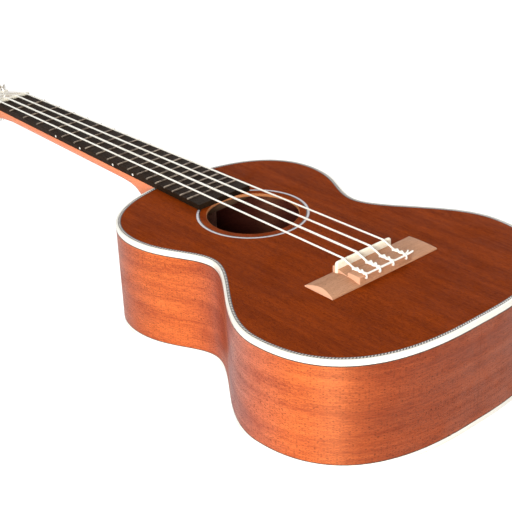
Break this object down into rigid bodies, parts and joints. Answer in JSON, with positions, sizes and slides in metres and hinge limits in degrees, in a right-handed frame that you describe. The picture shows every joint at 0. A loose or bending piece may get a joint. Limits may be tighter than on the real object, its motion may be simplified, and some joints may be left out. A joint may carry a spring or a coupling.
{
  "type": "tenor ukulele",
  "caption": "Figure-eight tenor ukulele: hollow bound body, flat top with round sound hole, tie bridge, fretted neck, tilted head and open-geared tuners.",
  "frame": {"origin": "middle of the body's length, on the centre line, on the outside of the flat back", "axes": "+Y from the tail towards the head along the strings, +Z out of the soundboard, +X to the treble side"},
  "size_m": [0.2304, 0.6579, 0.0903],
  "materials": {
    "top_wood": "satin open-pore mahogany, straight grain",
    "side_wood": "satin open-pore mahogany, lighter and redder",
    "inner_wood": "bare, unfinished",
    "neck_wood": "satin",
    "board_wood": "oiled, near black",
    "bridge_wood": "dry, pale pinkish tan",
    "head_face": "pale veneer under gloss lacquer",
    "binding": "white, polished flush with the wood",
    "purfling": "black and white slanted inlay",
    "rosette": "pale grey ring with dark edges",
    "bone": "polished cream",
    "fret_wire": "dull nickel silver",
    "tuner_metal": "bright nickel plate",
    "button_pearl": "pearly white, polished",
    "string_nylon": "milky nylon"
  },
  "bodies": {
    "root": {"soundboard": "top_wood", "back": "side_wood", "side_bass": "side_wood", "side_treble": "side_wood", "neck_block": "inner_wood", "tail_block": "inner_wood", "bridge_patch": "inner_wood", "top_binding": "binding", "back_binding": "binding", "top_purfling": "purfling", "rosette": "rosette", "neck": "neck_wood", "heel_cap": "binding", "head_veneer": "head_face", "fretboard": "board_wood", "fret_01": "fret_wire", "fret_02": "fret_wire", "fret_03": "fret_wire", "fret_04": "fret_wire", "fret_05": "fret_wire", "fret_06": "fret_wire", "fret_07": "fret_wire", "fret_08": "fret_wire", "fret_09": "fret_wire", "fret_10": "fret_wire", "fret_11": "fret_wire", "fret_12": "fret_wire", "fret_13": "fret_wire", "fret_14": "fret_wire", "fret_15": "fret_wire", "fret_16": "fret_wire", "fret_17": "fret_wire", "fret_18": "fret_wire", "nut": "bone", "bridge": "bridge_wood", "saddle": "bone", "tuner_plate_g": "tuner_metal", "bushing_g": "tuner_metal", "string_g": "string_nylon", "tuner_plate_c": "tuner_metal", "bushing_c": "tuner_metal", "string_c": "string_nylon", "tuner_plate_e": "tuner_metal", "bushing_e": "tuner_metal", "string_e": "string_nylon", "tuner_plate_a": "tuner_metal", "bushing_a": "tuner_metal", "string_a": "string_nylon"},
    "button_g": {"worm_shaft_g": "tuner_metal", "tuner_button_g": "button_pearl"},
    "peg_g": {"post_g": "tuner_metal"},
    "button_c": {"worm_shaft_c": "tuner_metal", "tuner_button_c": "button_pearl"},
    "peg_c": {"post_c": "tuner_metal"},
    "button_e": {"worm_shaft_e": "tuner_metal", "tuner_button_e": "button_pearl"},
    "peg_e": {"post_e": "tuner_metal"},
    "button_a": {"worm_shaft_a": "tuner_metal", "tuner_button_a": "button_pearl"},
    "peg_a": {"post_a": "tuner_metal"}
  },
  "joints": [
    {"name": "button_turn_g", "type": "hinge", "parent": "root", "child": "button_g", "pos_m": [-0.0155, 0.42938, 0.05128], "axis": [1, 0, 0], "continuous": true},
    {"name": "post_turn_g", "type": "hinge", "parent": "root", "child": "peg_g", "pos_m": [-0.0155, 0.4252, 0.07005], "axis": [0, 0.2419, 0.9703], "continuous": true},
    {"name": "button_turn_c", "type": "hinge", "parent": "root", "child": "button_c", "pos_m": [-0.0155, 0.47014, 0.04112], "axis": [1, 0, 0], "continuous": true},
    {"name": "post_turn_c", "type": "hinge", "parent": "root", "child": "peg_c", "pos_m": [-0.0155, 0.46595, 0.05989], "axis": [0, 0.2419, 0.9703], "continuous": true},
    {"name": "button_turn_e", "type": "hinge", "parent": "root", "child": "button_e", "pos_m": [0.0155, 0.47014, 0.04112], "axis": [1, 0, 0], "continuous": true},
    {"name": "post_turn_e", "type": "hinge", "parent": "root", "child": "peg_e", "pos_m": [0.0155, 0.46595, 0.05989], "axis": [0, 0.2419, 0.9703], "continuous": true},
    {"name": "button_turn_a", "type": "hinge", "parent": "root", "child": "button_a", "pos_m": [0.0155, 0.42938, 0.05128], "axis": [1, 0, 0], "continuous": true},
    {"name": "post_turn_a", "type": "hinge", "parent": "root", "child": "peg_a", "pos_m": [0.0155, 0.4252, 0.07005], "axis": [0, 0.2419, 0.9703], "continuous": true}
  ],
  "couplings": [
    {"joint": "post_turn_g", "follows": "button_turn_g", "ratio": -0.071429},
    {"joint": "post_turn_c", "follows": "button_turn_c", "ratio": -0.071429},
    {"joint": "post_turn_e", "follows": "button_turn_e", "ratio": 0.071429},
    {"joint": "post_turn_a", "follows": "button_turn_a", "ratio": 0.071429}
  ]
}
